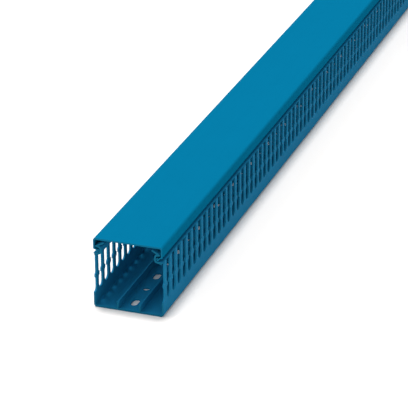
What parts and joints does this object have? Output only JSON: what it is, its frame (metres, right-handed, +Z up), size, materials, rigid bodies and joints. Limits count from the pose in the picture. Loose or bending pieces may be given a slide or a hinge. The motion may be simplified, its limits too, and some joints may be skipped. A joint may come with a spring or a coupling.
{
  "type": "slotted wire duct",
  "caption": "Straight slotted wiring duct: a U-shaped channel with finger walls, retaining nubs and a perforated floor, closed by a clip-on cover that slides off lengthwise.",
  "frame": {"origin": "middle of the duct's underside, half way along its length", "axes": "+Z up through the cover, +Y along the length (the way the cover slides off), +X across the width"},
  "size_m": [0.06, 1, 0.0615],
  "materials": {
    "duct_pvc": "smooth extruded PVC, blue, satin",
    "cover_pvc": "smooth extruded PVC, blue, satin"
  },
  "bodies": {
    "channel": {"duct": "duct_pvc"},
    "lid": {"cover": "cover_pvc"}
  },
  "joints": [
    {"name": "cover_slide", "type": "slide", "parent": "channel", "child": "lid", "axis": [0, 1, 0], "range_m": [0, 1]}
  ]
}
